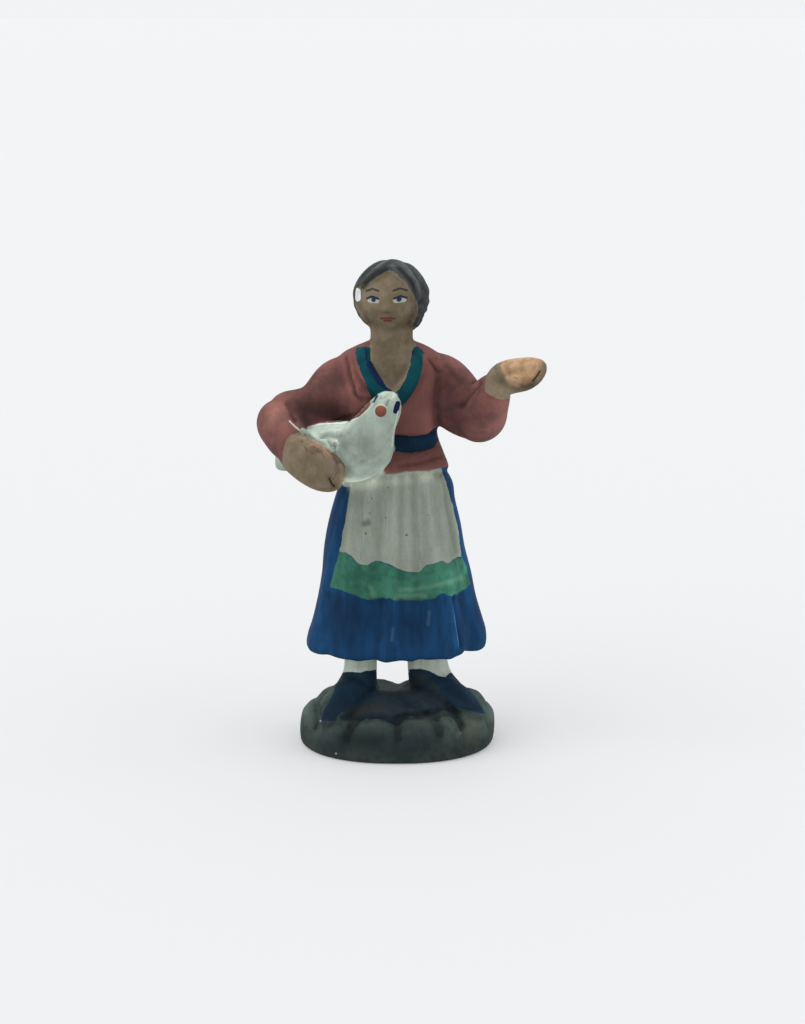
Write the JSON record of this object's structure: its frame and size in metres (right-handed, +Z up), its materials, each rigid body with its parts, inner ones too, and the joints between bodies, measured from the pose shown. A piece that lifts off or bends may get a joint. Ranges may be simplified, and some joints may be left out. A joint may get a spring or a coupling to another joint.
{
  "type": "nativity figurine",
  "caption": "Painted terracotta figurine of a village woman with a goose under one arm and the other hand held out, standing on a rocky mound; a display piece for a nativity scene.",
  "frame": {"origin": "centre of the mound's flat underside", "axes": "+Z up through the standing woman, -Y the way she faces, +X towards her open left hand"},
  "size_m": [0.0398, 0.0252, 0.0687],
  "materials": {
    "painted_terracotta": "matt hand-painted gouache colours over a white ground on fired clay"
  },
  "bodies": {
    "root": {"terracotta_figure": "painted_terracotta"}
  },
  "joints": []
}
